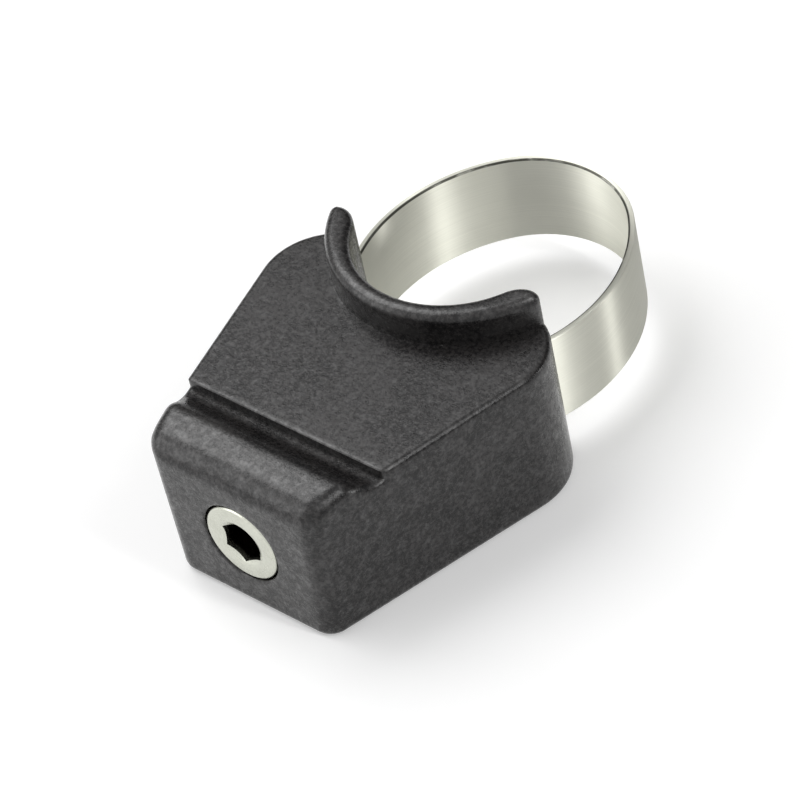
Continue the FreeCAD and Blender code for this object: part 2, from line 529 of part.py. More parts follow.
def make_clamp_screw():
    # Cap screw with a hexagon socket, its head flush with the front face.
    body = new_body("clamp_screw")
    sketch = new_sketch(body, "ScrewSection", "XY_Plane")
    front, tip = -value_of(FRONT), -value_of(SCREW_END)
    head, shank = size["head_radius"], size["thread_radius"]
    bevel, chamfer = size["head_edge"], size["shank_tip"]
    under = front + size["head_height"]
    corners = [(0, front), (head - bevel, front), (head, front + bevel), (head, under), (shank, under),
               (shank, tip - chamfer), (shank - chamfer, tip), (0, tip)]
    face, head_edge, side, seat, thread, point, end, axis = add_polygon(sketch, corners)
    for line in (face, seat, end):
        tie(sketch, "Horizontal", line)
    for line in (side, thread, axis):
        tie(sketch, "Vertical", line)
    tie(sketch, "PointOnObject", face, 1, ALONG)
    bind(sketch, "front", FRONT, "DistanceY", face, 1, *ORIGIN)
    bind(sketch, "head_radius", "Sizes.head_radius", "DistanceX", *ORIGIN, side, 1)
    bind(sketch, "head_height", "Sizes.head_height", "DistanceY", face, 1, seat, 1)
    bind(sketch, "bevel_width", "Sizes.head_edge", "DistanceX", head_edge, 1, head_edge, 2)
    bind(sketch, "bevel_depth", "Sizes.head_edge", "DistanceY", head_edge, 1, head_edge, 2)
    bind(sketch, "shank_radius", "Sizes.thread_radius", "DistanceX", *ORIGIN, thread, 1)
    bind(sketch, "screw_end", SCREW_END, "DistanceY", end, 1, *ORIGIN)
    bind(sketch, "tip_length", "Sizes.shank_tip", "DistanceY", point, 1, point, 2)
    bind(sketch, "tip_inset", "Sizes.shank_tip", "DistanceX", point, 2, point, 1)
    feature(body, "Revolution", "Turned", sketch, ReferenceAxis=(sketch, ["V_Axis"]))
    socket = new_sketch(body, "SocketPlan", "XZ_Plane", FRONT)
    corner = size["socket_flats"] / math.sqrt(3)
    points = [(corner * math.sin(math.radians(60 * step)), corner * math.cos(math.radians(60 * step)))
              for step in range(6)]
    sides = add_polygon(socket, points)
    ring = socket.addGeometry(Part.Circle(Vector(0, 0, 0), Vector(0, 0, 1), corner), True)
    tie(socket, "Coincident", ring, 3, *ORIGIN)
    for side in sides:
        tie(socket, "PointOnObject", side, 1, ring)
    for side in sides[1:]:
        tie(socket, "Equal", sides[0], side)
    tie(socket, "PointOnObject", sides[0], 1, ALONG)
    bind(socket, "corners", "Sizes.socket_flats / sqrt(3)", "Radius", ring)
    pocket = feature(body, "Pocket", "Socket", socket)
    pocket.setExpression("Length", "Sizes.socket_depth")
    mouth = new_sketch(body, "MouthSection", "XY_Plane")
    wide, depth = size["socket_mouth"], size["socket_mouth"] / math.sqrt(3)
    cone = add_polygon(mouth, [(0, front), (wide, front), (0, front + depth)])
    tie(mouth, "Horizontal", cone[0])
    tie(mouth, "Vertical", cone[2])
    tie(mouth, "PointOnObject", cone[0], 1, ALONG)
    bind(mouth, "front", FRONT, "DistanceY", cone[0], 1, *ORIGIN)
    bind(mouth, "wide", "Sizes.socket_mouth", "DistanceX", cone[0], 1, cone[0], 2)
    bind(mouth, "depth", "Sizes.socket_mouth / sqrt(3)", "DistanceY", cone[2], 2, cone[2], 1)
    feature(body, "Groove", "SocketMouth", mouth, ReferenceAxis=(mouth, ["V_Axis"]))
    return body


def make_draw_nut():
    # A tapped block between the legs: the hooks lie on its front face.
    body = new_body("draw_nut")
    sketch = new_sketch(body, "NutPlan", "XY_Plane")
    leg, start, end = leg_line(sketch)
    lean = math.radians(size["leg_angle"])
    front, rear = -value_of(NUT_FRONT), -value_of(NUT_REAR)
    edge = beside(end, end, start, -size["band_thick"] / 2 - size["nut_side_gap"])
    half = edge[0] + (front - edge[1]) * math.tan(lean)
    lines = add_rectangle(sketch, half, front, rear)
    bind(sketch, "beside_leg", "Sizes.band_thick / 2 + Sizes.nut_side_gap", "Distance", lines[0], 2, leg)
    bind(sketch, "front", NUT_FRONT, "DistanceY", lines[0], 1, *ORIGIN)
    bind(sketch, "rear", NUT_REAR, "DistanceY", lines[2], 1, *ORIGIN)
    block = feature(body, "Pad", "Block", sketch, SideType="Symmetric")
    block.setExpression("Length", "Sizes.nut_height")
    round_edges(body, "FrontCorners", "Sizes.nut_corner",
                lambda middle, ends: near(middle.z, 0) and near(middle.y, front))
    tapping = new_sketch(body, "ThreadHole", "XZ_Plane")
    hole = tapping.addGeometry(Part.Circle(Vector(0, 0, 0), Vector(0, 0, 1), size["thread_radius"]), False)
    tie(tapping, "Coincident", hole, 3, *ORIGIN)
    bind(tapping, "thread", "Sizes.thread_radius + Sizes.thread_gap", "Radius", hole)
    feature(body, "Pocket", "Thread", tapping, Type="ThroughAll", SideType="Symmetric")
    return body


pieces = [make_adapter_body(), make_clamp_band(), make_clamp_screw(), make_draw_nut()]
doc.recompute()

for item in doc.Objects:
    if "Invalid" in item.State or "Error" in item.State:
        raise RuntimeError("%s failed: %s" % (item.Label, item.getStatusString()))
for piece in pieces:
    if piece.Shape.isNull() or not piece.Shape.isValid():
        raise RuntimeError("%s has no sound solid" % piece.Label)

os.makedirs("parts", exist_ok=True)
for piece in pieces:
    piece.Shape.exportStep("parts/%s.step" % piece.Label)
    box = piece.Shape.BoundBox
    print("%s: %d solid, %.1f mm3, x %.2f %.2f, y %.2f %.2f, z %.2f %.2f" % (
        piece.Label, len(piece.Shape.Solids), piece.Shape.Volume,
        box.XMin, box.XMax, box.YMin, box.YMax, box.ZMin, box.ZMax))
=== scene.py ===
import bpy
import bmesh
import numpy as np
from math import cos, pi, radians, sin, sqrt, tan
from mathutils import Matrix, Vector


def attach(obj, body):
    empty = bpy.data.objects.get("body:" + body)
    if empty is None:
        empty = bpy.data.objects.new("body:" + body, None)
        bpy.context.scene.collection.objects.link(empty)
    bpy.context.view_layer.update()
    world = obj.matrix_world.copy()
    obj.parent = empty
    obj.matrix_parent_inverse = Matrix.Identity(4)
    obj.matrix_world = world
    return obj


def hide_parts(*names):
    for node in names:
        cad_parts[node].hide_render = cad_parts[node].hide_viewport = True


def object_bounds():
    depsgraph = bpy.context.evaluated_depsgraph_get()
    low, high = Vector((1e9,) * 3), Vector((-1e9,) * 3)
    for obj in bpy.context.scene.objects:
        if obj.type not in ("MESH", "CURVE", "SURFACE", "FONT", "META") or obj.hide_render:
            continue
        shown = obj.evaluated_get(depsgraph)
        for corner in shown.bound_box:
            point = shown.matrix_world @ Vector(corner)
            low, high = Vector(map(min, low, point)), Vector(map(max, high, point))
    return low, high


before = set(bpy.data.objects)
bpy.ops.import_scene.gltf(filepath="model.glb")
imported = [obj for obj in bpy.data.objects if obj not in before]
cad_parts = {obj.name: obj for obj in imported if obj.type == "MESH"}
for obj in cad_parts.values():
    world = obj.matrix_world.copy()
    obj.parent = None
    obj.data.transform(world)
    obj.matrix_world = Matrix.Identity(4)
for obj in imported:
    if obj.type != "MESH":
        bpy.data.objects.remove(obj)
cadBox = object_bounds()
scene = bpy.context.scene
mm = 0.001  # sizes of the pieces are in millimetres, the scene is in metres
print("frame loaded:", ", ".join(sorted(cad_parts)))


# A Wire is one socket of a material. Sums on wires add Math nodes, and make() adds any other node.
class Wire:
    def __init__(self, tree, socket=None):
        self.tree = tree
        self.socket = socket

    def fill(self, node, inputs):  # wires are linked to the node's sockets, plain values are set on them
        for key, value in inputs.items():
            if isinstance(value, Wire):
                self.tree.links.new(value.socket, node.inputs[key])
            else:
                node.inputs[key].default_value = value

    def make(self, kind, settings=None, inputs=None, out=0):
        node = self.tree.nodes.new("ShaderNode" + kind)
        for key, value in (settings or {}).items():
            setattr(node, key, value)
        self.fill(node, inputs or {})
        return Wire(self.tree, node.outputs[out])

    def maths(self, operation, first, second):
        return self.make("Math", {"operation": operation}, {0: first, 1: second})

    def __add__(self, other): return self.maths("ADD", self, other)
    def __radd__(self, other): return self.maths("ADD", other, self)
    def __sub__(self, other): return self.maths("SUBTRACT", self, other)
    def __rsub__(self, other): return self.maths("SUBTRACT", other, self)
    def __mul__(self, other): return self.maths("MULTIPLY", self, other)
    def __rmul__(self, other): return self.maths("MULTIPLY", other, self)
    def __pow__(self, other): return self.maths("POWER", self, other)

    def swing(self, share):  # a pattern from 0 to 1, brought to lie about 0
        return (self - 0.5) * share

    def ramp(self, low, high):  # 0 below low, 1 above high, smooth between
        return self.make("MapRange", {"interpolation_type": "SMOOTHSTEP"},
                         {"Value": self, "From Min": low, "From Max": high})

    def part(self, low, high, share):  # a ramp that counts for a share
        return self.ramp(low, high) * share

    def between(self, low, full, over, end):  # rises from low to full, falls from over to end
        return self.ramp(low, full) * (1 - self.ramp(over, end))

    def noise(self, where, scale, detail=2.0, rough=0.5):
        return self.make("TexNoise", {}, {"Vector": where, "Scale": scale, "Detail": detail, "Roughness": rough})

    def blend(self, factor, first, second):
        return self.make("Mix", {"data_type": "RGBA"}, {0: factor, 6: first, 7: second}, out=2)

    def shade(self, tone, look):  # from the finish's dark to its light colour
        return self.blend(tone.ramp(0.0, 1.0), look["dark"], look["light"])

    def bump(self, height, look):
        return self.make("Bump", {}, {"Height": height, "Strength": look["bump"], "Distance": look["bumpDepth"]})

    def stretch(self, where, scale):  # the pattern's place, stretched along its axes
        return self.make("Mapping", {}, {"Vector": where, "Scale": scale})

    def split(self, where):
        node = self.make("SeparateXYZ", {}, {0: where}).socket.node
        return [Wire(self.tree, out) for out in node.outputs]


def colour(red, green, blue):
    return (red, green, blue, 1.0)


def newFinish(name):
    finish = bpy.data.materials.new(name)
    finish.use_nodes = True
    tree = finish.node_tree
    shader = next(node for node in tree.nodes if node.type == "BSDF_PRINCIPLED")
    return finish, Wire(tree), shader


# charcoal satin plastic with the fine grain of the mould
bodySettings = {
    "dark": colour(0.0040, 0.0036, 0.0041),
    "light": colour(0.022, 0.0200, 0.0194),
    # lighter colour of the tops: partly wear, partly a painted highlight
    "wornAndHighlight": colour(0.042, 0.040, 0.039),
    "cloud": (120.0, 4.0, 0.6),      # slow tone changes: scale per metre, detail, roughness
    "fleck": (2100.0, 2.0, 0.65),    # light and dark flecks
    "grain": (5200.0, 2.0, 0.6),     # what the bump raises
    "skin": (900.0, 5.0, 0.75),      # patches where the mould's skin shines more, laid on as a thin coat
    "cloudTone": 1.2, "fleckTone": 2.4,
    "rough": 0.27, "cloudRough": 0.16, "fleckRough": 0.2, "rubSmooth": 0.06,
    "skinPart": (0.42, 0.7, 0.65),   # parts of the coat: from, to, share
    "fleckPart": (0.42, 0.72, 0.35),
    "cloudPart": (0.35, 0.65, 0.1),
    "coat": 0.9, "coatRough": 0.3, "shine": 0.33,
    "ridgeTop": (10.8 * mm, 11.1 * mm), "lipTop": (13.9 * mm, 14.5 * mm),  # heights that get rubbed and a painted highlight
    "rubAndHighlightPatch": (0.35, 0.7), "rubAndHighlightShare": 0.5,
    "grainBump": 0.7, "fleckBump": 0.6, "bump": 0.8, "bumpDepth": 0.05 * mm,
}


# Tone: the middle plus the swings of cloud and fleck. Coat: the sum of the patches of skin, fleck and cloud.
def plasticFinish(look):
    finish, wire, shader = newFinish("charcoalPlastic")
    place = wire.make("TexCoord", out="Object")
    cloud, fleck, grain, skin = [wire.noise(place, *look[name]) for name in ("cloud", "fleck", "grain", "skin")]
    height = wire.split(place)[2]
    # rubbed where the holder slides over the ridge and where the post presses on the lip; the lighter colour there
    # is partly wear, partly a painted highlight on the ridge crest and the lip top
    rubAndHighlight = height.between(*look["ridgeTop"], look["ridgeTop"][1], look["lipTop"][0])
    rubAndHighlight = (rubAndHighlight + height.ramp(*look["lipTop"])) * cloud.ramp(*look["rubAndHighlightPatch"])
    base = wire.shade(cloud.swing(look["cloudTone"]) + fleck.swing(look["fleckTone"]) + 0.5, look)
    rough = look["rough"] + cloud.swing(look["cloudRough"]) + fleck.swing(look["fleckRough"])
    mottle = skin.part(*look["skinPart"]) + fleck.part(*look["fleckPart"]) + cloud.part(*look["cloudPart"])
    wire.fill(shader, {
        "Base Color": wire.blend(rubAndHighlight * look["rubAndHighlightShare"], base, look["wornAndHighlight"]),
        "Roughness": rough - rubAndHighlight * look["rubSmooth"],
        "Coat Weight": mottle * look["coat"],
        "Coat Roughness": look["coatRough"],
        "Specular IOR Level": look["shine"],
        "Normal": wire.bump(grain * look["grainBump"] + fleck * look["fleckBump"], look),
    })
    return finish


# bright rolled strip: fine lines along its length, on the strip's own UV map in metres
stripFinishSettings = {
    "dark": colour(0.65, 0.65, 0.575),
    "light": colour(0.82, 0.82, 0.735),
    "lines": (45.0, 9000.0, 1.0), "scuffs": (300.0, 1500.0, 1.0),  # scales along, across and through the strip
    "stretched": (1.0, 3.0, 0.6),    # scale, detail and roughness of lines and scuffs
    "cloud": (90.0, 2.0),
    "lineTone": 0.8, "cloudTone": 0.7,
    "rough": 0.5, "lineRough": 0.1, "cloudRough": 0.06,
    "scuffRough": (0.58, 0.8, 0.05),
    "paintedEdgeShade": colour(0.10, 0.10, 0.085),   # painted shade: a dark line along the strip's inner top corner
    "edgeShadeFrom": (0.62 * mm, 0.74 * mm, 0.98 * mm, 1.08 * mm),
    "edgeShadePatch": (0.2, 0.5),
    "streak": 1.0, "streakTurn": 0.25,      # highlights stand across the rolling lines
    "bump": 0.35, "bumpDepth": 0.004 * mm,
}


# Tone: the middle plus the swings of lines and cloud, and painted shade along one corner of the section.
def stripFinish(look):
    finish, wire, shader = newFinish("rolledSteel")
    place = wire.make("TexCoord", out="UV")
    lines, scuffs = [wire.noise(wire.stretch(place, look[name]), *look["stretched"])
                     for name in ("lines", "scuffs")]
    cloud = wire.noise(place, *look["cloud"])
    edgeShade = wire.split(place)[1].between(*look["edgeShadeFrom"]) * scuffs.ramp(*look["edgeShadePatch"])
    steel = wire.shade(lines.swing(look["lineTone"]) + cloud.swing(look["cloudTone"]) + 0.5, look)
    rough = look["rough"] + lines.swing(look["lineRough"]) + scuffs.part(*look["scuffRough"])
    wire.fill(shader, {
        "Base Color": wire.blend(edgeShade, steel, look["paintedEdgeShade"]),
        "Roughness": rough + cloud.swing(look["cloudRough"]),
        "Metallic": 1.0,
        "Anisotropic": look["streak"],
        "Anisotropic Rotation": look["streakTurn"],
        "Normal": wire.bump(lines, look),
    })
    return finish


# turned and plated steel: rings round the screw axis
turnedSettings = {
    "cloud": (420.0, 4.0, 0.6), "spots": (2600.0, 2.0, 0.6),
    "ringTone": 0.5, "cloudTone": 0.8, "spotTone": 0.4,
    "ringRough": 0.12, "cloudRough": 0.14,
    "spotBump": 0.5, "bump": 0.4,
}
screwFinishSettings = {
    **turnedSettings,
    "name": "platedScrew",
    "dark": colour(0.50, 0.51, 0.44),
    "light": colour(0.68, 0.69, 0.61),
    "rings": (7000.0, 2.0, 0.6),
    "rough": 0.28, "bumpDepth": 0.006 * mm,
    "paintedSocketShade": colour(0.018, 0.014, 0.010),   # painted shade inside the socket, as far as these places and radii
    "socketShadeAlong": (-41.6 * mm, -40.9 * mm, -38.3 * mm, -38.2 * mm),
    "socketShadeOut": (2.95 * mm, 3.0 * mm),
    "socketShadePatch": (0.1, 0.3),
}
nutFinishSettings = {
    **turnedSettings,
    "name": "platedNut",
    "dark": colour(0.36, 0.36, 0.33),
    "light": colour(0.52, 0.52, 0.48),
    "rings": (4200.0, 2.0, 0.6),
    "rough": 0.38, "bumpDepth": 0.008 * mm,
}


# Rings: noise of the distance from the screw axis and the place along it, the same all the way round.
def turnedFinish(look):
    finish, wire, shader = newFinish(look["name"])
    place = wire.make("TexCoord", out="Object")
    x, y, z = wire.split(place)
    radius = (x * x + z * z) ** 0.5
    rings = wire.noise(wire.make("CombineXYZ", {}, {"X": radius, "Y": y, "Z": 0.0}), *look["rings"])
    cloud, spots = [wire.noise(place, *look[name]) for name in ("cloud", "spots")]
    tone = rings.swing(look["ringTone"]) + cloud.swing(look["cloudTone"]) + spots.swing(look["spotTone"]) + 0.5
    base = wire.shade(tone, look)
    # painted shade: the inside of the socket is darkened
    if "paintedSocketShade" in look:
        socketShade = y.between(*look["socketShadeAlong"]) * (1 - radius.ramp(*look["socketShadeOut"]))
        base = wire.blend(socketShade * cloud.ramp(*look["socketShadePatch"]), base, look["paintedSocketShade"])
    wire.fill(shader, {
        "Base Color": base,
        "Roughness": look["rough"] + rings.swing(look["ringRough"]) + cloud.swing(look["cloudRough"]),
        "Metallic": 1.0,
        "Normal": wire.bump(rings + spots * look["spotBump"], look),
    })
    return finish


# Puts points and quads into a mesh, with one UV pair for each corner of the quads where uv is given.
def quadMesh(name, points, quads, uv=None):
    mesh = bpy.data.meshes.new(name)
    mesh.vertices.add(len(points))
    mesh.vertices.foreach_set("co", points.reshape(-1).astype(np.float32))
    mesh.loops.add(quads.size)
    mesh.loops.foreach_set("vertex_index", quads.reshape(-1).astype(np.int32))
    mesh.polygons.add(len(quads))
    mesh.polygons.foreach_set("loop_start", (np.arange(len(quads)) * 4).astype(np.int32))
    if uv is not None:
        layer = mesh.uv_layers.new(name="surface")
        layer.data.foreach_set("uv", uv.reshape(-1).astype(np.float32))
    mesh.update(calc_edges=True)
    return mesh


# Smooth object with creases where its faces meet at more than sharp degrees.
def showPiece(name, mesh, finish, sharp):
    mesh.shade_smooth()
    mesh.set_sharp_from_angle(angle=radians(sharp))
    mesh.materials.append(finish)
    piece = bpy.data.objects.new(name, mesh)
    scene.collection.objects.link(piece)
    print("piece", name, "faces", len(mesh.polygons))
    return piece


mend = {"join": 1e-7, "drop": 1e-8}  # in metres: points that become one, faces that are taken out


# Makes a piece from a grid of points (rows, columns, 3). The columns close round, and rows that shrink to a point
# become poles. The UV map takes one pair per grid point, with the seam's second value given by uvSpan.
def gridPiece(name, points, finish, sharp, uv=None, uvSpan=0.0):
    rows, columns = points.shape[:2]
    index = np.arange(rows * columns).reshape(rows, columns)
    after = np.roll(index, -1, axis=1)
    quads = np.stack([index[:-1], index[1:], after[1:], after[:-1]], axis=-1).reshape(-1, 4)
    if uv is not None:
        column = quads % columns
        seam = (column == 0) & (np.max(column, axis=1, keepdims=True) == columns - 1)
        uv = uv.reshape(-1, 2)[quads]
        uv[..., 1] += np.where(seam, uvSpan, 0.0)
    mesh = quadMesh(name, points.reshape(-1, 3), quads, uv)
    work = bmesh.new()
    work.from_mesh(mesh)
    bmesh.ops.remove_doubles(work, verts=work.verts, dist=mend["join"])  # closes the poles
    bmesh.ops.dissolve_degenerate(work, edges=work.edges, dist=mend["drop"])
    bmesh.ops.recalc_face_normals(work, faces=work.faces)
    work.to_mesh(mesh)
    work.free()
    return showPiece(name, mesh, finish, sharp)


# clamp band: same path as the CAD strip, with the worn-off edges of cut strip
band = {
    "loopHalf": 15.32, "wideY": 3.6,    # half the loop's width, and where along Y it is widest
    "flank": 20.6, "bow": 13.4,         # radii of the sides and of the rear
    "lean": 19.0,                       # degrees by which the legs draw together
    "bend": 1.4, "hookTip": 3.8, "hookY": -21.8,
    "thick": 0.788, "width": 11.98, "edge": 0.22, "edgeSteps": 5,
    "steps": (6, 10, 16, 60, 40),       # hook, bend, leg, flank, half the bow
    "sharp": 35.0,
}


# Plan path from one hook tip to the other: straight hook, bend arc, straight leg, wide flank arc, rear bow arc,
# and the same mirrored. Gives points and outward normals in millimetres.
def bandPath(sizes):
    lean, flank, bend = radians(sizes["lean"]), sizes["flank"], sizes["bend"]
    flankX, flankY = sizes["loopHalf"] - flank, sizes["wideY"]
    bowY = flankY + sqrt((flank - sizes["bow"]) ** 2 - flankX ** 2)
    turn = np.arctan2(bowY - flankY, -flankX)
    leave = np.array((flankX + flank * cos(lean), flankY - flank * sin(lean)))
    bendY = sizes["hookY"] + bend
    bendX = leave[0] - bend / cos(lean) + (bendY - leave[1]) * tan(lean)
    arrive = np.array((bendX + bend * cos(lean), bendY - bend * sin(lean)))
    hookTip, hookEnd = np.array((sizes["hookTip"], sizes["hookY"])), np.array((bendX, sizes["hookY"]))

    def line(start, end, normal, steps):
        t = np.linspace(0, 1, steps, endpoint=False)[:, None]
        return (1 - t) * start + t * end, np.tile(normal, (steps, 1))

    def arc(centre, radius, first, last, steps, end=False):
        a = np.linspace(first, last, steps, endpoint=end)
        normal = np.stack([np.cos(a), np.sin(a)], axis=1)
        return np.array(centre) + radius * normal, normal

    steps = sizes["steps"]
    runs = [
        line(hookTip, hookEnd, (0.0, -1.0), steps[0]),
        arc((bendX, bendY), bend, -pi / 2, -lean, steps[1]),
        line(arrive, leave, (cos(lean), -sin(lean)), steps[2]),
        arc((flankX, flankY), flank, -lean, turn, steps[3]),
        arc((0.0, bowY), sizes["bow"], turn, pi / 2, steps[4], True),
    ]
    mirror = np.array([-1.0, 1.0])
    points, normals = [np.concatenate(half) for half in zip(*runs)]
    return [np.concatenate([half, half[-2::-1] * mirror]) for half in (points, normals)]


# Rectangle with rounded corners: quarter circles round four corner centres, in (thickness, width).
def stripSection(sizes):
    r = sizes["edge"]
    x, z = sizes["thick"] / 2 - r, sizes["width"] / 2 - r
    parts = []
    for quarter, centre in enumerate(((x, z), (-x, z), (-x, -z), (x, -z))):
        a = np.linspace(0, pi / 2, sizes["edgeSteps"]) + quarter * pi / 2
        parts.append(np.stack([centre[0] + r * np.cos(a), centre[1] + r * np.sin(a)], axis=1))
    return np.concatenate(parts)


# Section carried along the path: point + normal * thickness offset, raised by the width offset. A last ring at each
# end shrinks to the middle of the section and closes it. UV: length along the path, length round the section.
def makeBand(sizes, finish):
    path, normal = bandPath(sizes)
    section = stripSection(sizes)
    grid = np.empty((len(path), len(section), 3))
    grid[..., :2] = path[:, None] + normal[:, None] * section[None, :, :1]
    grid[..., 2] = section[None, :, 1]
    ends = [grid[index].mean(axis=0, keepdims=True).repeat(len(section), axis=0)[None] for index in (0, -1)]
    grid = np.concatenate([ends[0], grid, ends[1]])
    run = np.concatenate([[0.0], np.cumsum(np.linalg.norm(np.diff(path, axis=0), axis=1))])
    run = np.concatenate([run[:1], run, run[-1:]])
    step = np.linalg.norm(np.roll(section, -1, axis=0) - section, axis=1)
    around = np.concatenate([[0.0], np.cumsum(step)[:-1]])
    uv = np.stack(np.broadcast_arrays(run[:, None], around[None]), axis=-1) * mm
    piece = gridPiece("bandStrip", grid * mm, finish, sizes["sharp"], uv, step.sum() * mm)
    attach(piece, "band")
    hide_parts("clamp_band")
    return piece


# thread of screw and nut
thread = {
    "pitch": 1.0, "stepsPerTurn": 8,
    "peak": 1.15, "fall": 1.3,  # the wave before it is cut off at 0 and 1, for flat crests and roots
    "endGap": 1e-9,             # keeps the last ring
}


def turnAngles(columns):
    return np.arange(columns) * 2 * pi / columns


# Triangle wave of (place / pitch - angle / full turn), cut off at both ends.
def threadWave(place, angle):
    phase = np.mod(place / thread["pitch"] - angle / (2 * pi), 1.0)
    return np.clip(thread["peak"] - np.abs(phase * 2 - 1) * thread["fall"], 0, 1)


# Rings about the Y axis: each has a radius and a place along Y, as one number or as one for each angle from +Z
# towards +X. Point: x = radius * sin(angle), z = radius * cos(angle).
def turnedGrid(angle, rings):
    radius, along = [np.stack([np.broadcast_to(ring[part], angle.shape) for ring in rings]) for part in (0, 1)]
    return np.stack([radius * np.sin(angle), along, radius * np.cos(angle)], axis=-1)


# cap screw: socket, bevelled mouth, knurled head and thread on one grid
screw = {
    "front": -42.0, "seat": -36.0, "tip": -16.0,
    "headRadius": 5.1, "headEdge": 0.42, "headSteps": 6, "seatEdge": 0.15,
    "knurls": 36, "knurlDepth": 0.16,
    "knurlPlaces": ((0.75, 0), (1.0, 1), (5.3, 1), (5.5, 0)),   # behind the front, share of the depth
    "flats": 5.0, "socketDepth": 3.4, "drillPoint": 0.7,
    "socketFoot": (0.94, 0.12),                     # the floor's share of the hexagon, and its edge's height
    "mouth": 3.1, "mouthEdge": ((-0.03, 0.02), (0.04, 0.0)),    # outwards and inwards of the rim
    "shank": 3.0, "threadStart": 0.1, "threadDepth": 0.6, "runOut": 2.2, "tipBevel": 0.8,
    "columns": 144, "sharp": 28.0,
}


# Socket: the hexagon's radius is half the flats over cos of the angle from the middle of its side; its wall starts
# where the mouth's 30 degree cone reaches that radius, which scallops the mouth.
# Knurl: the head's radius less a triangle wave of the angle. Thread: the radius less the thread's wave, faded in
# under the head and cut off by the cone of the tip.
def makeScrew(sizes, finish):
    angle = turnAngles(sizes["columns"])
    front, head, edge = sizes["front"], sizes["headRadius"], sizes["headEdge"]
    seat, seatEdge, shank, tip = sizes["seat"], sizes["seatEdge"], sizes["shank"], sizes["tip"]
    hexagon = sizes["flats"] / 2 / np.cos(np.mod(angle, pi / 3) - pi / 6)
    wallTop = front + (sizes["mouth"] - hexagon) / sqrt(3)
    floor = front + sizes["socketDepth"]
    footShare, footEdge = sizes["socketFoot"]
    rings = [(0, floor + sizes["drillPoint"]), (hexagon * footShare, floor), (hexagon, floor - footEdge)]
    rings += [(hexagon, wallTop)] + [(sizes["mouth"] + out, front + deep) for out, deep in sizes["mouthEdge"]]
    for a in np.linspace(0, pi / 2, sizes["headSteps"]):
        rings.append((head - edge * (1 - sin(a)), front + edge * (1 - cos(a))))
    knurl = np.abs(np.mod(angle * sizes["knurls"] / (2 * pi), 1.0) * 2 - 1) * sizes["knurlDepth"]
    rings += [(head - knurl * share, front + place) for place, share in sizes["knurlPlaces"]]
    rings += [(head, seat - seatEdge), (head - seatEdge, seat), (shank, seat)]
    start, step = seat + sizes["threadStart"], thread["pitch"] / thread["stepsPerTurn"]
    place = np.arange(start, tip + thread["endGap"], step)[:, None]
    fade = np.clip((place - start) / sizes["runOut"], 0, 1)
    radius = shank - sizes["threadDepth"] * threadWave(place, angle) * fade
    radius = np.minimum(radius, shank - sizes["tipBevel"] + (tip - place))
    rings += list(zip(radius, place)) + [(0, tip)]
    piece = gridPiece("capScrew", turnedGrid(angle, rings) * mm, finish, sizes["sharp"])
    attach(piece, "screw")
    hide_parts("clamp_screw")
    return piece


# draw nut: a block with rounded edges and a tapped hole
nut = {
    "halfWidth": 7.32, "halfHeight": 5.8, "squareness": 14.0,
    "front": -21.4, "frontRound": 1.3, "frontSteps": 6,
    "rear": -15.4, "rearRound": 0.5, "rearSteps": 5,
    "hole": 3.05, "threadDepth": 0.5, "countersink": 0.5,
    "columns": 120, "sharp": 35.0,
}


# Superellipse outline (|sin a / w|^n + |cos a / h|^n)^(-1/n), drawn in towards both faces by quarter circles, then
# across each face to the hole, whose radius is widened by the thread's wave.
def makeNut(sizes, finish):
    angle = turnAngles(sizes["columns"])
    front, rear, sink = sizes["front"], sizes["rear"], sizes["countersink"]
    n, half = sizes["squareness"], sizes["halfWidth"]
    outline = (np.abs(np.sin(angle)) / half) ** n + (np.abs(np.cos(angle)) / sizes["halfHeight"]) ** n
    outline = outline ** (-1 / n)
    turns = [(a, front, sizes["frontRound"], 1) for a in np.linspace(0, pi / 2, sizes["frontSteps"])]
    turns += [(a, rear, sizes["rearRound"], -1) for a in np.linspace(pi / 2, 0, sizes["rearSteps"])]
    rings = []
    for a, face, edge, inwards in turns:
        drawn = edge * (1 - sin(a)) / half
        rings.append((outline * (1 - drawn), face + inwards * edge * (1 - cos(a))))
    step = thread["pitch"] / thread["stepsPerTurn"]
    place = np.arange(rear - sink, front + sink - thread["endGap"], -step)[:, None]
    radius = sizes["hole"] + sizes["threadDepth"] * threadWave(place, angle)
    mouth = sizes["hole"] + sink
    rings += [(mouth, rear)] + list(zip(radius, place)) + [(mouth, front), rings[0]]
    piece = gridPiece("drawNut", turnedGrid(angle, rings) * mm, finish, sizes["sharp"])
    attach(piece, "band")
    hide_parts("draw_nut")
    return piece


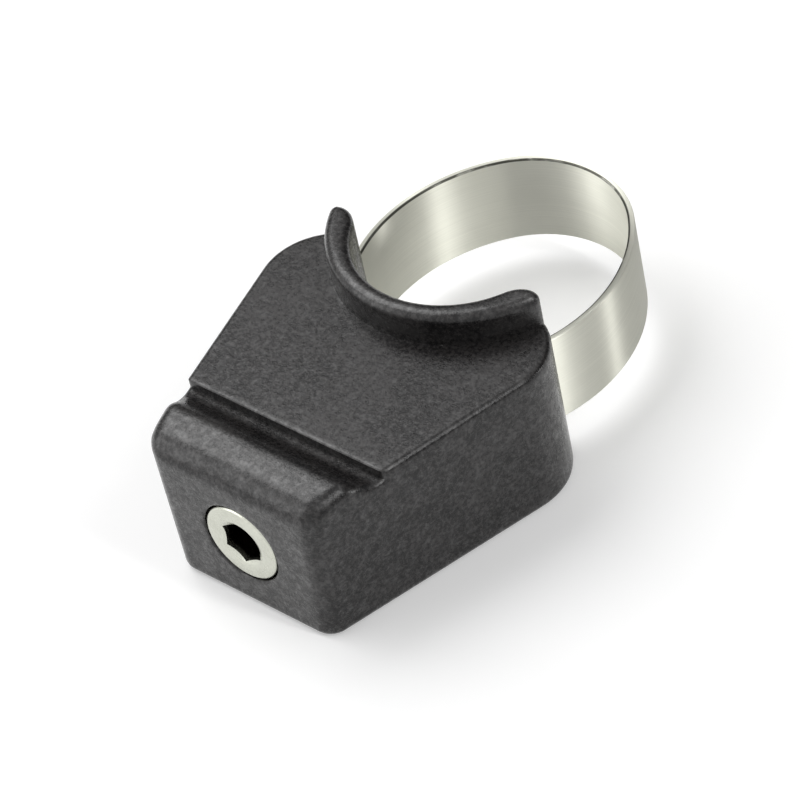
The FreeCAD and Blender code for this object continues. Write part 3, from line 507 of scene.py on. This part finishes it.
# adapter body: the CAD solid's sizes, with the soft edges and the drawn-in nose of a moulding, in millimetres
shell = {
    "post": 12.5, "tipRound": 3.6,
    "corner": (11.2, -11.4, 8.195),     # x, y and radius of the rear corner
    "front": -41.99, "frontHalf": 12.0, "noseRound": 1.9,
    "lean": 0.04, "leanLevel": 6.0, "leanFrom": -14.0, "leanTo": -42.0,   # the nose narrows downwards
    "top": 10.0, "topRound": 0.8, "base": -9.599, "baseRound": 1.0,
    "groove": -32.0, "grooveRound": 0.3,
    "ridge": ((-31.0, 8.8), (-33.4, 8.8), (-35.9, 10.85), (-36.7, 11.1), (-39.6, 10.8), (-43.0, 10.2)),
    "ridgeSoft": 0.45, "ridgeRun": (-46.0, -27.0, 0.01, 300),   # from, to, step, half the bell in steps
    "ridgeEnds": 1.9, "endsFrom": 1.2, "endsOver": 2.6,         # rounds the ridge's ends, from the groove on
    "brow": 2.7, "browOver": 5.0,                               # rounds the edge of ridge and front face
    "lipCentre": 1.7, "lipRadius": 16.6, "lipTop": 14.3,
    "lipRound": 1.1, "lipEnds": 0.9, "lipTip": 2.8, "lipFoot": 0.04,
    "headHole": 5.3, "headSeat": -35.95, "rim": 0.22,
    "bore": 3.3, "boreOver": (1.0, 2.0),        # starts inside the head hole, ends before the chamber's rear
    "chamber": (8.8, -31.5, -15.0, 6.25),       # half width, front, rear, roof
    "leg": (14.198, -3.107), "legLean": 19.0,   # where the band's leg starts, and its slant
    "slot": (-0.65, 3.58, 15.97, -30.4, 6.25),  # inside and outside of the leg, widest x, front, half height
    "low": (-20.0, -42.6, -10.2), "high": (20.0, -3.0, 15.0), "step": 0.34,     # grid to find the surface on
    "probe": 0.02,                              # half the stretch that slopes are measured over
    "edgeTurns": 4, "moveTurns": 2, "hold": 0.04, "leastSlope": 0.25,
    "sharp": 40.0,
}


# Greater of two distances, with the edge between them rounded to the radius.
def roundEdge(a, b, radius):
    return np.minimum(np.maximum(a, b), -radius) + np.hypot(np.maximum(a + radius, 0), np.maximum(b + radius, 0))


# Height of the groove floor and the ridge over y, and its slope: straight runs between the given points, smoothed
# with a bell curve.
def ridgeLine(sizes):
    start, end, step, half = sizes["ridgeRun"]
    y = np.linspace(start, end, round((end - start) / step) + 1)
    corners = np.array(sizes["ridge"])[::-1]
    height = np.interp(y, corners[:, 0], corners[:, 1])
    bell = np.exp(-0.5 * (np.arange(-half, half + 1) * step / sizes["ridgeSoft"]) ** 2)
    height = np.convolve(np.pad(height, half, mode="edge"), bell / bell.sum(), mode="valid")
    return y, height, np.gradient(height, y)


# Distance to the side in plan: a straight flared line from the front that runs into the rear corner's arc by a
# tangent. It draws in towards the nose, more the lower it is.
def sideDistance(sizes, x, y, z):
    cornerX, cornerY, radius = sizes["corner"]
    noseX, noseY = cornerX - sizes["frontHalf"], cornerY - sizes["front"]
    flare = np.arcsin(radius / np.hypot(noseX, noseY)) + np.arctan2(noseX, noseY)
    sideX, sideY = x - cornerX, y - cornerY
    straight = sideX * np.cos(flare) - sideY * np.sin(flare) - radius
    bent = np.hypot(sideX, sideY) - radius
    side = np.where(sideX * np.sin(flare) + sideY * np.cos(flare) > 0, bent, straight)
    nose = np.clip((y - sizes["leanFrom"]) / (sizes["leanTo"] - sizes["leanFrom"]), 0, 1)
    return side + sizes["lean"] * nose * (sizes["leanLevel"] - z)


# Distance to the hollows: screw bore, nut chamber and the slanted slot of the band's leg.
def hollowDistance(sizes, x, y, z):
    half, chamberFront, chamberRear, roof = sizes["chamber"]
    boreFront, boreRear = sizes["boreOver"]
    bore = np.maximum(sizes["headSeat"] - boreFront - y, y - chamberRear + boreRear)
    bore = np.maximum(np.hypot(x, z) - sizes["bore"], bore)
    chamber = np.maximum(np.maximum(x - half, z - roof), np.maximum(chamberFront - y, y - chamberRear))
    lean = radians(sizes["legLean"])
    legSide = (x - sizes["leg"][0]) * cos(lean) - (y - sizes["leg"][1]) * sin(lean)
    inner, outer, wide, slotFront, slotHalf = sizes["slot"]
    slot = np.maximum(np.maximum(inner - legSide, legSide - outer), np.maximum(x - wide, slotFront - y))
    slot = np.maximum(slot, np.abs(z) - slotHalf)
    return np.minimum(np.minimum(bore, chamber), slot)


# Signed distance to the body, below zero inside: plan outline of front, sides and cradle arc, cut by the deck, the
# ridge line and the underside, joined with the lip, less the screw's head hole and the hollows. The rounding of the
# top edge grows from the groove to the front, and from the ridge's ends to the brow.
def bodyDistance(sizes, line, x, y, z):
    x = np.abs(x)
    side = sideDistance(sizes, x, y, z)
    front = sizes["front"] - y
    cradle = sizes["post"] - np.hypot(x, y)
    outline = roundEdge(side, front, sizes["noseRound"])
    plan = roundEdge(outline, cradle, sizes["tipRound"])

    rise, slope = [np.interp(y, line[0], values) for values in line[1:]]
    ridge = (z - rise) / np.hypot(1, slope)
    deck = roundEdge(z - sizes["top"], sizes["groove"] - y, sizes["grooveRound"])
    ahead = np.clip((sizes["groove"] - sizes["endsFrom"] - y) / sizes["endsOver"], 0, 1)
    ahead = ahead ** 2 * (3 - 2 * ahead)
    brow = np.clip(0.5 + (front - side) / sizes["browOver"], 0, 1)
    ends = sizes["ridgeEnds"] - sizes["topRound"] + brow * (sizes["brow"] - sizes["ridgeEnds"])
    block = roundEdge(plan, np.minimum(deck, ridge), sizes["topRound"] + ahead * ends)

    lip = roundEdge(outline, cradle, sizes["lipTip"])
    lip = roundEdge(lip, np.hypot(x, y - sizes["lipCentre"]) - sizes["lipRadius"], sizes["lipEnds"])
    lip = roundEdge(lip, z - sizes["lipTop"], sizes["lipRound"])
    foot = np.maximum(sizes["lipFoot"] - np.abs(block - lip), 0)
    body = np.minimum(block, lip) - foot ** 2 / (4 * sizes["lipFoot"])
    body = roundEdge(body, sizes["base"] - z, sizes["baseRound"])
    headHole = np.maximum(np.hypot(x, z) - sizes["headHole"], y - sizes["headSeat"])
    body = roundEdge(body, -headHole, sizes["rim"])
    return np.maximum(body, -hollowDistance(sizes, x, y, z))


unit = np.eye(3, dtype=int)
cellCorners = [(a, b, c) for a in (0, 1) for b in (0, 1) for c in (0, 1)]


# Where the surface crosses the edges from start to end, by false position, and which rows have such an edge.
def edgeCrossings(distance, value, start, end, low, size, turns):
    a, b = value[tuple(start.T)], value[tuple(end.T)]
    rows = np.flatnonzero((a < 0) != (b < 0))
    a, b, near, far = a[rows], b[rows], np.zeros(len(rows)), np.ones(len(rows))
    for turn in range(turns):
        share = near + (far - near) * a / (a - b)
        place = low + (start[rows] + share[:, None] * (end - start)[rows]) * size
        there = distance(place)
        same = (there < 0) == (a < 0)
        near, far = np.where(same, share, near), np.where(same, far, share)
        a, b = np.where(same, there, a), np.where(same, b, there)
        b = np.where(a == b, b + 1e-9, b)  # never divides by zero
    return rows, place


# One point in each cell: where it lies closest to the tangent planes at the cell's edge crossings, so that creases
# stay sharp, held lightly to their middle, then moved onto the surface along the slope.
def netPoints(sizes, distance, value, cells, low, size):
    def slopeAt(points):
        probe = sizes["probe"]
        rises = [distance(points + step) - distance(points - step) for step in probe * np.eye(3)]
        return np.stack(rises, axis=1) / (2 * probe)

    total, hits = np.zeros((len(cells), 3)), np.zeros((len(cells), 1))
    planes, pull = np.zeros((len(cells), 3, 3)), np.zeros((len(cells), 3))
    for axis in range(3):
        for corner in (corner for corner in cellCorners if corner[axis] == 0):
            start = cells + corner
            end = start + unit[axis]
            rows, place = edgeCrossings(distance, value, start, end, low, size, sizes["edgeTurns"])
            normal = slopeAt(place)
            normal /= np.maximum(np.linalg.norm(normal, axis=1, keepdims=True), 1e-6)
            total[rows] += place
            hits[rows] += 1
            planes[rows] += normal[:, :, None] * normal[:, None, :]
            pull[rows] += normal * (normal * place).sum(axis=1, keepdims=True)
    hold, middle = sizes["hold"], total / hits
    points = np.linalg.solve(planes + hold * np.eye(3), (pull + hold * middle)[..., None])[..., 0]
    cellLow = low + cells * size  # each point stays in its own cell, so that no quad folds over
    points = np.clip(points, cellLow, cellLow + size)
    for turn in range(sizes["moveTurns"]):
        slope = slopeAt(points)
        steepness = np.maximum((slope ** 2).sum(axis=1), sizes["leastSlope"])
        move = slope * (distance(points) / steepness)[:, None]
        points = np.clip(points - move, cellLow, cellLow + size)
    return points


# One quad round each grid edge that crosses the surface, turned to face outwards.
def netQuads(inside, index):
    quads = []
    for axis in range(3):
        after, other = (axis + 1) % 3, (axis + 2) % 3
        layers = np.moveaxis(inside, axis, 0)
        spots = np.argwhere(layers[:-1] != layers[1:])
        spots = np.insert(spots[:, 1:], axis, spots[:, 0], axis=1)
        spots = spots[(spots[:, after] > 0) & (spots[:, other] > 0)]
        one, two = unit[after], unit[other]
        ring = np.stack([index[tuple((spots - shift).T)] for shift in (one + two, two, 0 * one, one)], axis=1)
        leaves = inside[tuple(spots.T)]
        quads.append(np.where(leaves[:, None], ring, ring[:, ::-1]))
    return np.concatenate(quads)


# Net over the zero level of the distance, from its values on a grid: points in the cells that the surface passes
# through, and quads between them.
def makeShell(sizes, finish):
    line = ridgeLine(sizes)
    low, high = np.array(sizes["low"]), np.array(sizes["high"])
    count = np.ceil((high - low) / sizes["step"]).astype(int) + 1
    axes = [np.linspace(low[d], high[d], count[d]) for d in range(3)]
    value = bodyDistance(sizes, line, *np.meshgrid(*axes, indexing="ij"))
    inside = value < 0
    filled = np.zeros(count - 1, dtype=int)  # how many corners of each cell lie inside
    for corner in cellCorners:
        filled += inside[tuple(slice(first, first + run) for first, run in zip(corner, count - 1))]
    cells = np.argwhere((filled > 0) & (filled < len(cellCorners)))
    index = np.full(filled.shape, -1)
    index[tuple(cells.T)] = np.arange(len(cells))

    def distance(points):
        return bodyDistance(sizes, line, *points.T)

    points = netPoints(sizes, distance, value, cells, low, (high - low) / (count - 1))
    mesh = quadMesh("bodyShell", points * mm, netQuads(inside, index))
    piece = showPiece("bodyShell", mesh, finish, sizes["sharp"])
    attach(piece, "adapter")
    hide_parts("adapter_body")
    return piece


makeShell(shell, plasticFinish(bodySettings))
makeBand(band, stripFinish(stripFinishSettings))
makeScrew(screw, turnedFinish(screwFinishSettings))
makeNut(nut, turnedFinish(nutFinishSettings))
print("pieces and finishes done")


# stage: pale floor that keeps a soft shadow, in a white room
stage = {
    "floorHalf": 3.0, "floorGap": 0.02 * mm,    # just clear of the underside
    "floorColour": colour(0.8, 0.8, 0.8), "floorRough": 0.9,
    "floorGlow": 0.3,       # shown to the camera and to reflections only
    "roomLight": 0.3,       # what the room gives to the object
    "roomLow": 0.1,         # what reflections see low at the back; it rises to 1 upwards and forwards
    "roomForward": 0.6, "roomFull": 0.45,
}


# 1 for the given kinds of rays, 0 for all others
def raysOf(wire, first, *others):
    rays = wire.make("LightPath").socket.node.outputs
    total = Wire(wire.tree, rays[first])
    for name in others:
        total = total + Wire(wire.tree, rays[name])
    return total.ramp(0.0, 1.0)


# Flat square from its four corners.
def makeFloor(look, level):
    half = look["floorHalf"]
    corners = [(-half, -half, level), (half, -half, level), (half, half, level), (-half, half, level)]
    mesh = bpy.data.meshes.new("floor")
    mesh.from_pydata(corners, [], [(0, 1, 2, 3)])
    finish, wire, shader = newFinish("paleFloor")
    seen = raysOf(wire, "Is Camera Ray", "Is Glossy Ray", "Is Transmission Ray")
    wire.fill(shader, {
        "Base Color": look["floorColour"],
        "Roughness": look["floorRough"],
        "Specular IOR Level": 0.0,
        "Emission Strength": look["floorGlow"],
        "Emission Color": wire.blend(seen, colour(0, 0, 0), colour(1, 1, 1)),
    })
    mesh.materials.append(finish)
    floor = bpy.data.objects.new("floor", mesh)
    scene.collection.objects.link(floor)


# White to the camera. Reflections see a dome: roomLow plus the rest times a smooth step of the height, which is
# raised forwards. All other rays get roomLight.
def makeRoom(look):
    room = bpy.data.worlds.new("room")
    room.use_nodes = True
    wire = Wire(room.node_tree)
    back = next(node for node in room.node_tree.nodes if node.type == "BACKGROUND")
    camera = raysOf(wire, "Is Camera Ray")
    mirrored = raysOf(wire, "Is Glossy Ray", "Is Transmission Ray")
    y, z = wire.split(wire.make("TexCoord", out="Generated"))[1:]
    dome = look["roomLow"] + (z - y * look["roomForward"]).ramp(0.0, look["roomFull"]) * (1 - look["roomLow"])
    strength = camera + (1 - camera) * (mirrored * dome + (1 - mirrored) * look["roomLight"])
    wire.fill(back, {"Color": colour(1, 1, 1), "Strength": strength})
    scene.world = room


# Lamps: compass angle from -Y towards +X, height angle, distance and size in metres, watts.
lamps = {
    "overheadLeft": {"around": -90.0, "above": 57.0, "away": 0.55, "size": (0.42, 0.42), "watts": 1.95},
    "frontLeft": {"around": -38.0, "above": 24.0, "away": 0.6, "size": (0.35, 0.45), "watts": 0.8},
    "right": {"around": 94.0, "above": 42.0, "away": 0.6, "size": (0.05, 0.4), "watts": 0.85},
    "rearRight": {"around": 130.0, "above": 4.0, "away": 0.6, "size": (0.05, 0.06), "watts": 0.3},
}
lampAim = Vector((0.0, -10.0, 0.0)) * mm


def direction(around, above):
    around, above = radians(around), radians(above)
    return Vector((sin(around) * cos(above), -cos(around) * cos(above), sin(above)))


def makeLamps(looks, aim):
    for name, look in looks.items():
        light = bpy.data.lights.new(name, "AREA")
        light.shape = "RECTANGLE"
        light.size, light.size_y = look["size"]
        light.energy = look["watts"]
        lamp = bpy.data.objects.new(name, light)
        out = direction(look["around"], look["above"])
        lamp.location = aim + out * look["away"]
        lamp.rotation_euler = out.to_track_quat("Z", "Y").to_euler()
        lamp.visible_camera = False
        scene.collection.objects.link(lamp)


# Camera: looks at the aim point from the photo's side, rolled about its line of sight.
view = {
    "eye": (293.268, -275.203, 366.094),
    "aim": (0.350, -14.662, -0.750),
    "roll": -12.616,
    "lens": 213.129, "sensor": 36.0,
    "clip": (0.05, 20.0),   # metres
}


def makeCamera(look):
    data = bpy.data.cameras.new("camera")
    data.sensor_fit = "HORIZONTAL"
    data.sensor_width = look["sensor"]
    data.lens = look["lens"]
    data.clip_start, data.clip_end = look["clip"]
    camera = bpy.data.objects.new("camera", data)
    eye, aim = Vector(look["eye"]) * mm, Vector(look["aim"]) * mm
    turn = (eye - aim).to_track_quat("Z", "Y").to_matrix().to_4x4()
    camera.matrix_world = Matrix.Translation(eye) @ turn @ Matrix.Rotation(radians(look["roll"]), 4, "Z")
    scene.collection.objects.link(camera)
    scene.camera = camera


makeFloor(stage, cadBox[0][2] - stage["floorGap"])
makeRoom(stage)
makeLamps(lamps, lampAim)
makeCamera(view)
scene.view_settings.view_transform = "Standard"
print("stage, lamps and camera done")
